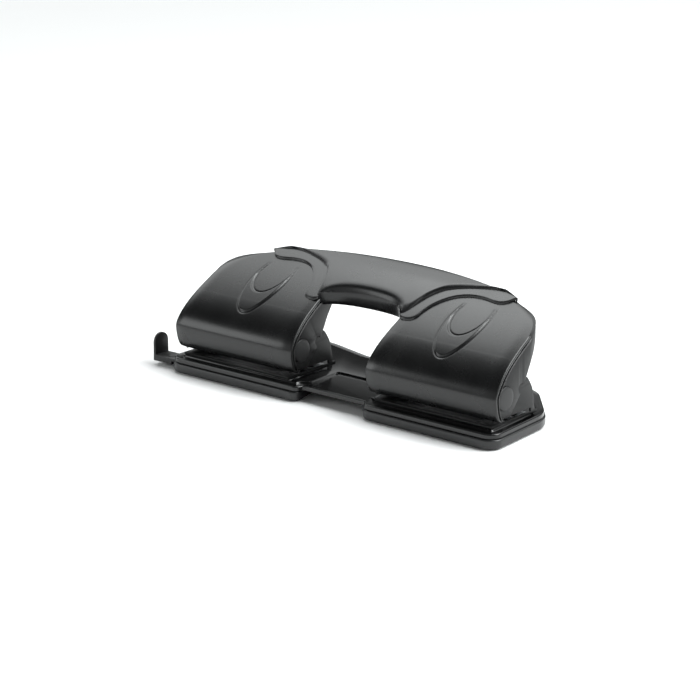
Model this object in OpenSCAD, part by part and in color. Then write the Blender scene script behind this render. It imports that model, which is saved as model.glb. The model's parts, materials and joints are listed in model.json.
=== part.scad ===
// Four-hole desk punch: two sprung punch heads on one pressed base, worked by a common handle.
// Millimetres. X runs along the base, -Y is the side the paper enters, Z is up from the table top.

/* [Hole pattern] */
// distance between neighbouring holes
hole_pitch = 80; // [76:1:84]
// diameter of the punched hole
hole_d = 5.5; // [5:0.1:5.8]
// distance from the edge of the sheet to the hole centres
margin = 12; // [10:0.5:12.5]

/* [Base] */
// half length of the pressed base
base_half = 131; // [130:0.5:133]
// height of the flat table above the desk
table_z = 11; // [10.8:0.1:11.2]
// depth of the plastic skirt of the chip tray
skirt_h = 6.4; // [6:0.1:6.5]

/* [Heads] */
// height of the pivot above the desk
pivot_z = 27.6; // [27.2:0.1:28]
// distance of the pins behind the pivot
pin_y = 17; // [16.8:0.1:17.2]
// downward travel of a pin
stroke = 5.1; // [4.6:0.1:5.2]
// half width of a hood at its nose
hood_half = 50.3; // [49.8:0.1:51]

/* [Handle] */
// rise of the grip above the hood surface
grip_rise = 3.6; // [3:0.1:4]
// thickness of the lip that laps over each hood
lip_t = 1.5; // [1.2:0.1:1.8]

/* [Paper guide] */
// distance of the stop face from the middle plane
guide_stop_x = 148.5; // [140:0.5:150]
// height of the top of the stop tab
guide_tab_z = 20.6; // [18:0.2:24]

/* [Hidden] */
$fn = 48;
pivot_y = -27;
head_x = hole_pitch;
pin_x = hole_pitch / 2;
press_deg = 17;
floor_t = 1.2;
bridge_y = -13.2;
floor_z = table_z + floor_t;
slot_z = floor_z + 2.4;
frame_out = 45.1;
frame_t = 1.2;
lever_out = 46.4;
lever_t = 1;
hood_t = 1;
web_t = 1.2;
shelf_z = slot_z + 0.2;
shelf_t = 1.6;
rod_r = 3;
rod_arm = pin_y * 1.012;
rod_z = pivot_z + rod_arm * sin(press_deg / 2);
rod_y = rod_arm * cos(press_deg / 2);
hanger_x = 42.3;
pin_top = rod_z - rod_r - 0.24;
pin_tip = slot_z + 0.5;
axle_d = 6;
top_arc = [119, -130, 214.7];
strap_d0 = hood_t + web_t + 0.03;
strap_t = 1.8;
steel = [0.72, 0.73, 0.75];
enamel = [0.05, 0.05, 0.055];
plastic = [0.09, 0.09, 0.1];

// ---- curve helpers ----
function unit(v) = v / norm(v);
function left_of(v) = [-v[1], v[0]];
function bez(p, n) = [for (i = [0:n]) let (t = i / n, s = 1 - t)
  s*s*s * p[0] + 3*s*s*t * p[1] + 3*s*t*t * p[2] + t*t*t * p[3]];
function drop_last(p) = [for (i = [0:len(p) - 2]) p[i]];
// curve through every point of p, n steps between neighbours
function knot(p, i) = p[max(0, min(len(p) - 1, i))];
function smooth(p, n) = concat([for (i = [0:len(p) - 2], k = [0:n - 1])
  let (t = k / n, a = knot(p, i - 1), b = p[i], c = p[i + 1], d = knot(p, i + 2))
  0.5 * (2*b + (c - a) * t + (2*a - 5*b + 4*c - d) * t*t + (3*b - a - 3*c + d) * t*t*t)],
  [p[len(p) - 1]]);
// path moved sideways by d, to the right of its direction
function shift(p, d) = [for (i = [0:len(p) - 1])
  let (v = unit(knot(p, i + 1) - knot(p, i - 1))) p[i] - d * left_of(v)];
function reversed(p) = [for (i = [len(p) - 1:-1:0]) p[i]];
function mirror_x(p) = [for (q = reversed(p)) [-q[0], q[1]]];
// outline with rounded corners [x, y, r] run anticlockwise, moved inwards by d
function corner(a, b, c, d) =
  let (u = unit([b[0] - a[0], b[1] - a[1]]), v = unit([c[0] - b[0], c[1] - b[1]]),
    turn = u[0] * v[1] - u[1] * v[0], away = 1 + u * v,
    q = [b[0], b[1]] + (left_of(u) + left_of(v)) * d / away,
    r = max(0.4, turn > 0 ? b[2] - d : b[2] + d), half = atan2(abs(turn), 1 + u * v) ,
    run = r * tan(half), n = max(2, ceil(half / 6)))
  [for (i = [0:n]) let (t = i / n, ang = 2 * half * t, s = turn > 0 ? 1 : -1)
    q - u * run + u * r * sin(ang) + left_of(u) * s * r * (1 - cos(ang))];
function outline(p, d) = [for (i = [0:len(p) - 1])
  each corner(p[(i + len(p) - 1) % len(p)], p[i], p[(i + 1) % len(p)], d)];

// ---- placing helpers ----
module at_pivot() translate([0, pivot_y, 0]) children();
module head(side) at_pivot() translate([side * head_x, 0, 0])
  if (side > 0) children(); else mirror([1, 0, 0]) children();
// shape drawn as [y, z], drawn out along X from x0 to x1
module across(x0, x1) translate([x0, 0, 0]) rotate([90, 0, 90]) linear_extrude(x1 - x0) children();
module up(z0, z1) translate([0, 0, z0]) linear_extrude(z1 - z0) children();
module rod(x0, x1, d) translate([x0, 0, 0]) rotate([0, 90, 0]) cylinder(d = d, h = x1 - x0);
module at_pins() for (s = [-1, 1]) translate([s * pin_x, pin_y, 0]) children();
function arc_z(y) = top_arc[1] + sqrt(pow(top_arc[2], 2) - pow(y - top_arc[0], 2));
// stands children square on the hood surface at [x, y]
module on_arc(x, y) translate([x, y, arc_z(y)])
  rotate([asin((top_arc[0] - y) / top_arc[2]), 0, 0]) children();

// ---- hood surface, as [y, z] from its lower front edge to the back ----
arc_start = asin((top_arc[0] - 4.6) / top_arc[2]);
function arc_end(y) = asin((top_arc[0] - y) / top_arc[2]);
function hood_line(y_end) = concat(
  drop_last(bez([[-10.2, 15.6], [-12.8, 20], [-15.2, 25], [-15.2, 30]], 6)),
  drop_last(bez([[-15.2, 30], [-15.2, 35], [-7.2, 44.3], [4.6, 51.7]], 12)),
  [for (i = [0:20]) let (a = arc_start + (arc_end(y_end) - arc_start) * i / 20)
    [top_arc[0] - top_arc[2] * sin(a), top_arc[1] + top_arc[2] * cos(a)]]);
// sheet between depths d0 and d1 below the hood surface
module sheet(x0, x1, d0, d1, y_end)
  across(x0, x1) polygon(concat(shift(hood_line(y_end), d0), reversed(shift(hood_line(y_end), d1))));

// ---- plan outlines of a head, outer side towards +X ----
hood_side = [[hood_half, -17], [hood_half - 0.9, -8], [48.2, 3], [47.5, 14], [46.8, 23], [43.4, 32.4],
  [37.2, 39.6], [28, 45.4], [18, 50]];
function hood_plan() = concat(smooth(hood_side, 5),
  [[-47.5, 50], [-47.5, 14], [-48.2, 3], [-hood_half + 0.9, -8], [-hood_half, -17]]);
function hood_plan_in(d) = concat(shift(smooth(hood_side, 5), -d),
  [[-47.5 + d, 51], [-47.5 + d, 14], [-48.2 + d, 3], [-hood_half + 0.9 + d, -8],
   [-hood_half + d, -18]]);
wall_side = [[lever_out, -18], [lever_out, 0], [lever_out, 14], [lever_out, 22], [46.2, 27.5],
  [44, 34], [38.9, 39.8], [30.5, 44.6], [20, 49]];
function wall_plan(d) = concat(shift(smooth(wall_side, 5), -d),
  [[-lever_out + d, 49 + d], [-lever_out + d, -18]]);
function crescent() = concat(
  [for (a = [163:8:379]) [13.6 * cos(a), 24 + 27.4 * sin(a)]],
  [for (a = [11:-9.5:-190]) [13 * cos(a), 29 + 17.7 * sin(a)]]);

// ---- base outlines ----
function base_corners() = [[29.5, bridge_y, 2.5], [33, -19, 5], [base_half + 1.4, -19, 8],
  [base_half - 1.8, 39, 18], [100, 73, 22], [68, 74, 40], [30, 64, 30],
  [-30, 64, 30], [-68, 74, 40], [-100, 73, 22], [-base_half, 39, 16], [-base_half, -19, 9],
  [-22.4, -19, 4], [-20.2, bridge_y, 2]];
function tray_corners() = [[28.5, 10, 3], [29.6, -20.2, 8], [base_half + 2.2, -20.2, 9],
  [base_half - 1, 39.5, 19], [100.4, 73.9, 22], [68, 74.8, 40], [28.5, 64.6, 8], [28.5, 56, 3],
  [-28.5, 56, 3], [-28.5, 64.6, 8], [-68, 74.8, 40], [-100.4, 73.9, 22], [-base_half - 0.8, 39.5, 16],
  [-base_half - 0.8, -20.2, 10], [-20.6, -20.2, 5], [-27.6, 10, 3]];
module base_2d(d) polygon(outline(base_corners(), d));
module tray_2d(d) polygon(outline(tray_corners(), d));
module rear_table_2d(d) difference() {
  base_2d(d);
  translate([-20, -30]) square([49, 51]);
}
rivet_spots = [[-32, -6], [32, -6], [-32, 32.4], [32, 32.4]];
feet = [[-118, -8], [118, -8], [104, 52], [-104, 52]];
guide_y = -14;
guide_w = 12.4;
guide_z0 = 4.7;
guide_z1 = 6.4;
guide_zt = 2.4;
guide_in = 48.5;
keeper_x = [-112, -64];

module base_plate() color(enamel) at_pivot() difference() {
  union() {
    up(skirt_h + 0.4, table_z - 1.4) base_2d(0);
    up(table_z - 1.5, table_z) rear_table_2d(5);
  }
  up(skirt_h, table_z - 2.6) base_2d(1.2);
  up(skirt_h, table_z - 1.2) rear_table_2d(6.2);
  for (s = [-1, 1]) translate([s * head_x, 0, table_z - 3]) {
    at_pins() cylinder(d = 8.6, h = 6);
    for (p = rivet_spots) translate(p) cylinder(d = 4, h = 6);
  }
}

module chip_tray() color(plastic) at_pivot() difference() {
  union() {
    up(0, skirt_h) tray_2d(0);
    up(skirt_h - 0.1, skirt_h + 1.6) tray_2d(2.4);
  }
  up(1.4, skirt_h - 1.2) tray_2d(1.6);
  up(skirt_h - 1.3, skirt_h + 2) tray_2d(3.6);
  // way through for the paper guide, raised lower edge each side of the tab at the right end, feet
  translate([-base_half - 3, guide_y - 0.6, guide_zt - 0.5]) cube([8, guide_w + 1.2, 8]);
  translate([base_half - 2.4, -3.5, -1]) cube([5, 4.4, 2.1]);
  translate([base_half - 2.4, 7, -1]) cube([5, 25, 2.1]);
  for (p = feet) translate([p[0], p[1], -1]) cylinder(d = 11, h = 1.8);
}

module rubber_feet() color(plastic) at_pivot() for (p = feet) translate([p[0], p[1], 0]) {
  translate([0, 0, 0.8]) mirror([0, 0, 1]) cylinder(d = 10.6, h = 0.8);
}

module guide_keepers() color(steel) at_pivot() for (x = keeper_x) translate([x - 4, 0, 0]) difference() {
  translate([0, guide_y - 2.4, guide_z0 - 1.3]) cube([8, guide_w + 4.8, table_z - 1.2 - guide_z0 + 1.3]);
  translate([-1, guide_y - 0.3, guide_z0 - 0.3]) cube([10, guide_w + 0.6, guide_z1 - guide_z0 + 0.6]);
  translate([-1, guide_y - 1.2, guide_z1 + 1]) cube([10, guide_w + 2.4, 9]);
  translate([-1, guide_y - 3, table_z - 2.6]) cube([10, 4, 9]);
}

module paper_guide() color(plastic) at_pivot() {
  tab_t = 1.8;
  difference() {
    union() {
      translate([-guide_stop_x - tab_t, guide_y, guide_z0])
        cube([guide_stop_x + tab_t - guide_in, guide_w, guide_z1 - guide_z0]);
      translate([-guide_stop_x - tab_t, guide_y, guide_zt]) cube([16, guide_w, guide_z1 - guide_zt]);
    }
    for (i = [0:5]) translate([-126 + 5 * i, guide_y + guide_w - 1, guide_z0 - 1]) cube([1.4, 3, 4]);
  }
  across(-guide_stop_x - tab_t, -guide_stop_x) polygon(concat(
    [[guide_y, guide_zt], [guide_y + guide_w, guide_zt]],
    [for (a = [0:9:180]) [guide_y + guide_w / 2 * (1 + cos(a)), guide_tab_z - guide_w / 2 * (1 - sin(a))]]));
  up(guide_z1 - 0.1, guide_z1 + 0.25) polygon([[-143, guide_y + 3.5], [-139, guide_y + 3.5],
    [-139, guide_y + 2], [-135.5, guide_y + 6.5], [-139, guide_y + 11], [-139, guide_y + 9.5],
    [-143, guide_y + 9.5]]);
}

// ---- fixed parts of a head ----
module die_plate(side) color(steel) head(side) difference() {
  translate([-43.6, 8.2, table_z]) cube([87.2, 18.6, floor_t]);
  at_pins() translate([0, 0, table_z - 1]) cylinder(d = hole_d + 0.12, h = floor_t + 2);
}
module die_plate_left() die_plate(-1);
module die_plate_right() die_plate(1);

function cheek_shape() = concat([[-9, slot_z], [-9.4, 20]],
  smooth([[-9.4, 24], [-8, 31], [-2, 36], [5, 37.6], [13, 38], [20, 37.3], [24.4, 35.2], [27.3, 31.9],
    [30.2, 26.9], [31.7, 21.8], [32.7, 15], [33.2, table_z]], 5),
  [[pin_y + margin, table_z], [pin_y + margin, slot_z]]);
module head_frame(side) color(enamel) head(side) difference() {
  union() {
    translate([-frame_out, -11, table_z]) cube([2 * frame_out, 47, floor_t]);
    for (s = [0, 1]) mirror([s, 0, 0]) across(frame_out - frame_t, frame_out) polygon(cheek_shape());
  }
  translate([-43.7, 8, table_z - 1]) cube([87.4, 19, floor_t + 1.01]);
  translate([0, 0, pivot_z]) rod(-60, 60, axle_d);
  for (p = rivet_spots) translate([p[0], p[1], table_z - 1]) cylinder(d = 4, h = 4);
}
module head_frame_left() head_frame(-1);
module head_frame_right() head_frame(1);

module pin_guide(side) color(steel) head(side) difference() {
  across(-frame_out + frame_t, frame_out - frame_t) polygon([[8, shelf_z], [28.2, shelf_z],
    [28.2, shelf_z + 7], [27, shelf_z + 7], [27, shelf_z + shelf_t], [9.2, shelf_z + shelf_t],
    [9.2, shelf_z + 3.2], [8, shelf_z + 3.2]]);
  at_pins() translate([0, 0, shelf_z - 1]) cylinder(d = hole_d + 0.14, h = 5);
}
module pin_guide_left() pin_guide(-1);
module pin_guide_right() pin_guide(1);

module frame_rivets(side) color(steel) head(side) for (p = rivet_spots) translate([p[0], p[1], 0]) {
  translate([0, 0, table_z - 1.2]) cylinder(d = 4, h = floor_t + 1.2);
  translate([0, 0, table_z - 2.2]) cylinder(d = 6.4, h = 1);
  if (p[1] > 30) translate([0, 0, floor_z]) cylinder(d1 = 6.6, d2 = 4.4, h = 1.2);
}
module frame_rivets_left() frame_rivets(-1);
module frame_rivets_right() frame_rivets(1);

module pivot_axle(side) color(steel) head(side) translate([0, 0, pivot_z])
  rod(-lever_out - 0.3, lever_out + 0.3, axle_d);
module pivot_axle_left() pivot_axle(-1);
module pivot_axle_right() pivot_axle(1);

// ---- moving parts of a head ----
module pivot_cap(side, end) color(plastic) head(side) translate([0, 0, pivot_z]) mirror([end, 0, 0])
  difference() {
    translate([lever_out, 0, 0]) rotate([0, 90, 0]) {
      cylinder(r = 7.5, h = 0.9);
      cylinder(r1 = 7.5, r2 = 6.7, h = 1.5);
    }
    rod(lever_out - 1, lever_out + 0.7, axle_d + 0.6);
  }
module pivot_cap_1() pivot_cap(-1, 0);
module pivot_cap_2() pivot_cap(-1, 1);
module pivot_cap_3() pivot_cap(1, 1);
module pivot_cap_4() pivot_cap(1, 0);

module punch_pin(i) color(steel) at_pivot() translate([hole_pitch * (i - 2.5), pin_y, 0]) difference() {
  union() {
    translate([0, 0, pin_tip]) cylinder(d = hole_d, h = pin_top - pin_tip);
    translate([0, 0, pin_top - 1.2]) cylinder(r = 3.7, h = 1.2);
  }
  // hollow-ground cutting edge
  across(-5, 5) polygon([[-2, pin_tip - 1], [2, pin_tip - 1], [2, pin_tip], [0, pin_tip + 1.1],
    [-2, pin_tip]]);
}
module punch_pin_1() punch_pin(1);
module punch_pin_2() punch_pin(2);
module punch_pin_3() punch_pin(3);
module punch_pin_4() punch_pin(4);

module return_spring(i) {
  wire = 0.6;
  coil_r = hole_d / 2 + 0.66;
  z0 = shelf_z + shelf_t + wire / 2;
  z1 = pin_top - 1.2 - wire / 2;
  turns = 4.5;
  per_turn = 20;
  sides = 8;
  last = turns * per_turn;
  points = [for (k = [0:last], j = [0:sides - 1])
    let (a = 360 * k / per_turn, b = 360 * j / sides, r = coil_r + wire / 2 * cos(b))
    [r * cos(a), r * sin(a), z0 + (z1 - z0) * k / last + wire / 2 * sin(b)]];
  faces = concat([[for (j = [0:sides - 1]) j]], [[for (j = [sides - 1:-1:0]) last * sides + j]],
    [for (k = [0:last - 1], j = [0:sides - 1]) let (n = (j + 1) % sides)
      [k * sides + j, (k + 1) * sides + j, (k + 1) * sides + n, k * sides + n]]);
  color(steel) at_pivot() translate([hole_pitch * (i - 2.5), pin_y, 0]) polyhedron(points, faces);
}
module return_spring_1() return_spring(1);
module return_spring_2() return_spring(2);
module return_spring_3() return_spring(3);
module return_spring_4() return_spring(4);

function lever_shape() = concat([[-30, 90], [-30, 14.2], [-8, 14.2]],
  smooth([[4.5, 14.2], [6.6, 15.6], [8.9, 18.4], [14.9, 25.4], [18.6, 31], [22.3, 37], [26.3, 44.7],
    [30.5, 51], [34, 57.5], [37.5, 66]], 4), [[39, 90]]);
// hanger that comes down inside each cheek and holds the press rod from above
function hanger_shape() = [[rod_y - 4.4, rod_z - 0.4], [rod_y + 4.4, rod_z - 0.4], [rod_y + 6, 70],
  [rod_y - 6, 70]];
module lever_frame(side) color(enamel) head(side) difference() {
  union() {
    intersection() {
      up(10, 90) difference() {
        polygon(wall_plan(0));
        polygon(wall_plan(lever_t));
        translate([-44, 36]) square([100, 30]);
      }
      across(-60, 60) polygon(lever_shape());
      across(-60, 60) polygon(concat([[60, 10]], shift(hood_line(60), hood_t)));
    }
    intersection() {
      sheet(-60, 60, hood_t, hood_t + web_t, 48);
      up(10, 90) intersection() {
        polygon(wall_plan(0));
        translate([-60, -7]) square([120, 60]);
      }
    }
    for (s = [-1, 1]) intersection() {
      across(min(s * hanger_x, s * (hanger_x + 1)), max(s * hanger_x, s * (hanger_x + 1)))
        polygon(hanger_shape());
      across(-60, 60) polygon(concat([[60, 10]], shift(hood_line(60), hood_t + 0.2)));
    }
  }
  translate([0, rod_y, rod_z]) rod(-60, 60, 2 * rod_r);
  translate([0, 0, pivot_z]) rod(-60, 60, axle_d + 0.12);
  screw_holes();
  // way through the inner wall for the strap of the handle
  across(-60, -40) strap_section(hood_t + web_t, 0.1);
}
module lever_frame_left() lever_frame(-1);
module lever_frame_right() lever_frame(1);

module press_rod(side) color(steel) head(side)
  translate([0, rod_y, rod_z]) rod(-hanger_x - 1.1, hanger_x + 1.1, 2 * rod_r);
module press_rod_left() press_rod(-1);
module press_rod_right() press_rod(1);

module hood_cover(side) color(enamel) head(side) difference() {
  union() {
    intersection() {
      sheet(-60, 60, 0, hood_t, 50);
      up(10, 90) polygon(hood_plan());
    }
    // rolled edge standing off the cheeks
    intersection() {
      sheet(-60, 60, 0, 4.2, 50);
      up(10, 90) difference() {
        polygon(hood_plan());
        polygon(hood_plan_in(1));
        polygon(wall_plan(-0.02));
        translate([-60, 34]) square([22, 30]);
      }
    }
    intersection() {
      sheet(-20, 20, -0.5, 0.4, 50);
      up(10, 90) polygon(crescent());
    }
  }
  screw_holes();
}
module hood_cover_left() hood_cover(-1);
module hood_cover_right() hood_cover(1);

// ---- handle ----
screw_spots = [[-33.5, 45], [-38.5, 37.5]];
module screw_holes() for (p = screw_spots) on_arc(p[0], p[1])
  translate([0, 0, -8]) cylinder(d = 4.2, h = 12);

// front edge of the grip where it laps over the right hood, and the step behind it
lip_edge = [[33, 16.2], [35.5, 14.6], [41, 14.7], [45, 17.2], [46.4, 23], [49, 29.5], [53.4, 35.6],
  [58.6, 40.2], [65.3, 43.2], [72, 44.3], [79, 44], [86, 42.9], [91.3, 43.2], [95, 45.5],
  [97.4, 49], [99.6, 49.6]];
step_edge = [[33.6, 16.6], [36, 18.4], [37.8, 24], [40, 31.5], [45.3, 40.4], [52.6, 45.4],
  [61, 48.8], [70, 51.4], [78, 53.2], [84, 53.9]];
grip_front = bez([[0, 27.4], [14, 27.2], [28.5, 25.5], [33, 16.4]], 12);
rear_r = 286;
function rear_edge(x0) = [for (i = [0:16]) let (x = x0 * (1 - i / 16))
  [x, 67.5 - rear_r + sqrt(rear_r * rear_r - x * x)]];
module grip_2d(edge, x0) {
  half = concat(grip_front, smooth(edge, 4), rear_edge(x0));
  polygon(half);
  polygon(mirror_x(half));
}
// top of the grip, as [y, z] from front to back
grip_top = smooth([[13, arc_z(13) + 2.2], [20, arc_z(20) + grip_rise - 0.4],
  [27, arc_z(27) + grip_rise], [36, arc_z(36) + grip_rise + 0.2], [46, arc_z(46) + grip_rise - 0.2],
  [55, 77.3], [61, 78], [65.5, 77.3], [67.4, 75]], 5);
arc_path = [for (y = [13:2.5:53]) [y, arc_z(y)]];
module bar_section() polygon(concat([[26.4, 67]], [for (q = grip_top) if (q[0] > 26.5) q],
  smooth([[67.6, 73], [66.6, 66], [61.5, 60.2], [46, 56.2], [31.6, 53.6], [28.2, 54.6], [26, 58.5],
    [25.2, 63.5]], 4)));
module handle_grip() color(plastic) at_pivot() difference() {
  union() {
    intersection() {
      across(-32.3, 32.3) bar_section();
      up(40, 90) translate([-40, 0]) square([80, 80]);
      up(40, 90) grip_2d(step_edge, 84.2);
    }
    intersection() {
      across(-100, 100) polygon(concat(grip_top, reversed(shift(arc_path, -0.03))));
      up(40, 90) grip_2d(step_edge, 84.2);
    }
    intersection() {
      across(-100, 100) polygon(concat(shift(arc_path, -lip_t), reversed(shift(arc_path, -0.03))));
      up(40, 90) grip_2d(lip_edge, 99.2);
    }
    // apron that closes the back of each hood
    intersection() {
      across(-100, 100) polygon(concat([[51.8, 64]], [for (q = grip_top) if (q[0] > 51.8) q],
        [[67.6, 73], [66.6, 66], [62, 64]]));
      up(40, 90) grip_2d(lip_edge, 99.2);
    }
  }
  // hollow underside of the bar
  across(-30.6, 30.6) polygon([[31.2, 40], [31.2, 65.2], [35, 68.4], [46, 72.4], [56, 74.4],
    [62.6, 74.6], [63.6, 70], [63, 40]]);
  across(-60, 60) strap_section(strap_d0 - 0.02, 0.1);
  for (s = [-1, 1]) for (p = screw_spots) on_arc(s * (head_x + p[0]), p[1])
    translate([0, 0, -8]) cylinder(d = 4, h = 10.4);
}

function strap_path(g) = [for (i = [0:10]) let (y = 33.5 - g + (15 + 2 * g) * i / 10) [y, arc_z(y)]];
module strap_section(d0, g) polygon(concat(shift(strap_path(g), d0),
  reversed(shift(strap_path(g), strap_d0 + strap_t + g))));
module handle_strap() color(steel) at_pivot() difference() {
  across(-54, 54) strap_section(strap_d0, 0);
  for (s = [-1, 1]) for (p = screw_spots) on_arc(s * (head_x + p[0]), p[1])
    translate([0, 0, -8]) cylinder(d = 4.2, h = 12);
}
module handle_screws() color(steel) at_pivot()
  for (s = [-1, 1]) for (p = screw_spots) on_arc(s * (head_x + p[0]), p[1]) difference() {
    union() {
      translate([0, 0, -strap_d0 - strap_t - 2.1]) cylinder(d = 7, h = 2);
      translate([0, 0, -strap_d0 - strap_t - 0.2]) cylinder(d = 3.98, h = strap_d0 + strap_t + 2.4);
    }
    translate([0, 0, -strap_d0 - strap_t - 3]) cylinder(d = 3, h = 2, $fn = 6);
  }

base_plate();
chip_tray();
rubber_feet();
guide_keepers();
paper_guide();
die_plate_left();
die_plate_right();
head_frame_left();
head_frame_right();
pin_guide_left();
pin_guide_right();
frame_rivets_left();
frame_rivets_right();
pivot_axle_left();
pivot_axle_right();
pivot_cap_1();
pivot_cap_2();
pivot_cap_3();
pivot_cap_4();
punch_pin_1();
punch_pin_2();
punch_pin_3();
punch_pin_4();
return_spring_1();
return_spring_2();
return_spring_3();
return_spring_4();
lever_frame_left();
lever_frame_right();
press_rod_left();
press_rod_right();
hood_cover_left();
hood_cover_right();
handle_strap();
handle_screws();
handle_grip();
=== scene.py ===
"""Four-hole desk punch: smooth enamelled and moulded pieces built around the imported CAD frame.

Shapes are in millimetres, with X 0 in the middle between the heads, Y 0 at the pivot axis and Z 0 on the
desk. Y grows towards the back. Lamps, camera and noise are in metres."""

import json
import math

import bpy
import numpy as np
from mathutils import Euler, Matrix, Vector


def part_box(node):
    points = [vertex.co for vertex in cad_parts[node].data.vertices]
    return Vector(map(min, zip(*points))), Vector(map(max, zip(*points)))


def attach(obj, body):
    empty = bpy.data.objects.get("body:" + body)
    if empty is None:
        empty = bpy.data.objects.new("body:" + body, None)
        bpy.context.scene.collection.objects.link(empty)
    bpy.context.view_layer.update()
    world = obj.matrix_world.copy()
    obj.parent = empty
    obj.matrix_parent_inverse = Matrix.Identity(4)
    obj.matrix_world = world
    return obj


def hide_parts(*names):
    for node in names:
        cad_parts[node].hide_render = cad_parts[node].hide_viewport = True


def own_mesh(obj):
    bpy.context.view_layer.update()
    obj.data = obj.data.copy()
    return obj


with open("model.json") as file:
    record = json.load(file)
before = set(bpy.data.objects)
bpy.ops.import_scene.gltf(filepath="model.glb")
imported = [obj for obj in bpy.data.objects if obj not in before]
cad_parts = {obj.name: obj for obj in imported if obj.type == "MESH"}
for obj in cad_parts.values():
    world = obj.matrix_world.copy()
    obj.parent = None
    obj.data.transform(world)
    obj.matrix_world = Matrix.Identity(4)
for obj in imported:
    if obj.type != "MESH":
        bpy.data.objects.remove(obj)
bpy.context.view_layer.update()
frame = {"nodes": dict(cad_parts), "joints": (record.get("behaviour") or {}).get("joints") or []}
MM = 0.001

# ---------------------------------------------------------------- places taken from the frame
joint = {j["name"]: j for j in frame["joints"]}
PIVOT_Y = joint["handle_press"]["pos_m"][1] / MM
PIVOT_Z = joint["handle_press"]["pos_m"][2] / MM


def box_mm(node):
    """Lowest and highest corner of a CAD node in millimetres, with Y counted from the pivot."""
    low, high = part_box(node)
    shift = Vector((0, PIVOT_Y, 0))
    return Vector(low) / MM - shift, Vector(high) / MM - shift


def middle(node):
    """Middle of a CAD node's box, as box_mm gives it."""
    low, high = box_mm(node)
    return (low + high) / 2


HEAD_X = middle("hood_cover_right").x
HOOD_HALF = (box_mm("hood_cover_right")[1].x - box_mm("hood_cover_right")[0].x) / 2
TRAY_HIGH = box_mm("chip_tray")[1]
PAN_LOW, PAN_HIGH = box_mm("base_plate")


# ---------------------------------------------------------------- curves and meshes
def smooth(points, steps):
    """Curve through every point, with that many steps between neighbours."""
    p = np.array(points, float)
    out = []
    for i in range(len(p) - 1):
        a, b, c, d = p[max(0, i - 1)], p[i], p[i + 1], p[min(len(p) - 1, i + 2)]
        for k in range(steps):
            t = k / steps
            out.append(0.5 * (2 * b + (c - a) * t + (2 * a - 5 * b + 4 * c - d) * t * t
                              + (3 * b - a - 3 * c + d) * t ** 3))
    return np.array(out + [p[-1]])


def bezier(p0, p1, p2, p3, steps):
    """Points of a cubic curve from p0 to p3."""
    t = np.linspace(0, 1, steps + 1)[:, None]
    p0, p1, p2, p3 = (np.array(p, float) for p in (p0, p1, p2, p3))
    return (1 - t) ** 3 * p0 + 3 * (1 - t) ** 2 * t * p1 + 3 * (1 - t) * t * t * p2 + t ** 3 * p3


def lengths(path):
    """Distance from the path's start to each of its points."""
    return np.concatenate([[0], np.cumsum(np.linalg.norm(np.diff(path, axis=0), axis=1))])


def along(path, s):
    """Points of a path at distances s from its start."""
    run = lengths(path)
    return np.stack([np.interp(s, run, path[:, k]) for k in range(path.shape[1])], axis=1)


def even(path, count):
    """The path with that many evenly spaced points."""
    return along(path, np.linspace(0, lengths(path)[-1], count))


def ease(t):
    """Smooth step from 0 to 1 as t goes from 0 to 1."""
    t = np.clip(t, 0, 1)
    return t * t * (3 - 2 * t)


def mesh_object(name, points, faces, material, crease_angle=None):
    """A mesh from points in millimetres, Y counted from the pivot."""
    world = np.array(points, float) * MM
    world[:, 1] += PIVOT_Y * MM
    mesh = bpy.data.meshes.new(name)
    mesh.from_pydata(world.tolist(), [], faces)
    mesh.validate()
    mesh.shade_smooth()
    mesh.materials.append(material)
    obj = bpy.data.objects.new(name, mesh)
    bpy.context.scene.collection.objects.link(obj)
    if crease_angle:
        split = obj.modifiers.new("crease", "EDGE_SPLIT")
        split.split_angle = math.radians(crease_angle)
    return obj


def grid_faces(rows, columns, closed=False):
    """Quads over a grid of points row after row; closed joins each row's end to its start."""
    faces = []
    for i in range(rows - 1):
        here, beyond = i * columns, (i + 1) * columns
        for j in range(columns if closed else columns - 1):
            k = (j + 1) % columns
            faces.append([here + j, beyond + j, beyond + k, here + k])
    return faces


def end_faces(rows, columns):
    """One face over the first ring and one over the last, facing away from each other."""
    return [list(range(columns))[::-1], [(rows - 1) * columns + k for k in range(columns)]]


def lathe(name, profile, material, at, turn, sides=64):
    """A turned piece: profile is [radius, height] pairs, height along the axis that turn gives +Z."""
    points = []
    for r, h in profile:
        for k in range(sides):
            a = 2 * math.pi * k / sides
            points.append(turn @ Vector((r * math.cos(a), r * math.sin(a), h)) + at)
    faces = grid_faces(len(profile), sides, closed=True) + end_faces(len(profile), sides)
    return mesh_object(name, points, faces, material, crease_angle=40)


# ---------------------------------------------------------------- materials
def blank_material(name):
    """A new node material with its nodes, links and main shader."""
    material = bpy.data.materials.new(name)
    material.use_nodes = True
    nodes, links = material.node_tree.nodes, material.node_tree.links
    return material, nodes, links, nodes["Principled BSDF"]


def noise(nodes, links, scale, detail=3.0, rough=0.5, stretch=None):
    """Noise in object space, stretched along one direction for brushed metal."""
    coords = nodes.new("ShaderNodeTexCoord")
    tex = nodes.new("ShaderNodeTexNoise")
    tex.inputs["Scale"].default_value = scale
    tex.inputs["Detail"].default_value = detail
    tex.inputs["Roughness"].default_value = rough
    if stretch:
        mapping = nodes.new("ShaderNodeMapping")
        mapping.inputs["Scale"].default_value = stretch
        links.new(coords.outputs["Object"], mapping.inputs["Vector"])
        links.new(mapping.outputs["Vector"], tex.inputs["Vector"])
    else:
        links.new(coords.outputs["Object"], tex.inputs["Vector"])
    return tex.outputs["Fac"]


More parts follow.
